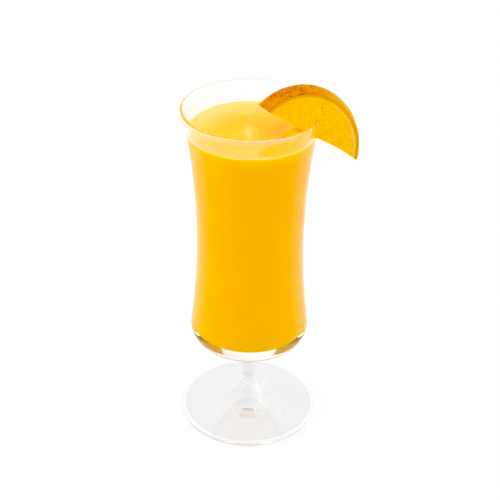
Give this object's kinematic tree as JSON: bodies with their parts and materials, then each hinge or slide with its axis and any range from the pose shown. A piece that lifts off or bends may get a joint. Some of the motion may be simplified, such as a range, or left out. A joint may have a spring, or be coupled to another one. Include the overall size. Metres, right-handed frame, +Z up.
{
  "type": "glass of orange juice",
  "caption": "Tall stemmed glass with a flared bowl, filled with orange juice, with a slit slice of orange sitting astride its rim.",
  "frame": {"origin": "centre of the foot's flat underside, on the glass's axis", "axes": "+Z up along the glass's axis; +X towards the side of the rim that carries the orange slice; -Y towards the viewer of the picture"},
  "size_m": [0.0953, 0.0774, 0.2018],
  "materials": {
    "clear_glass": "clear, polished, colourless pressed glass",
    "orange_juice": "opaque, cloudy orange-yellow juice with a wet surface",
    "orange_slice": "moist orange flesh with pale pith and a pored orange rind"
  },
  "bodies": {
    "root": {"glass": "clear_glass", "juice": "orange_juice", "orange_slice": "orange_slice"}
  },
  "joints": []
}
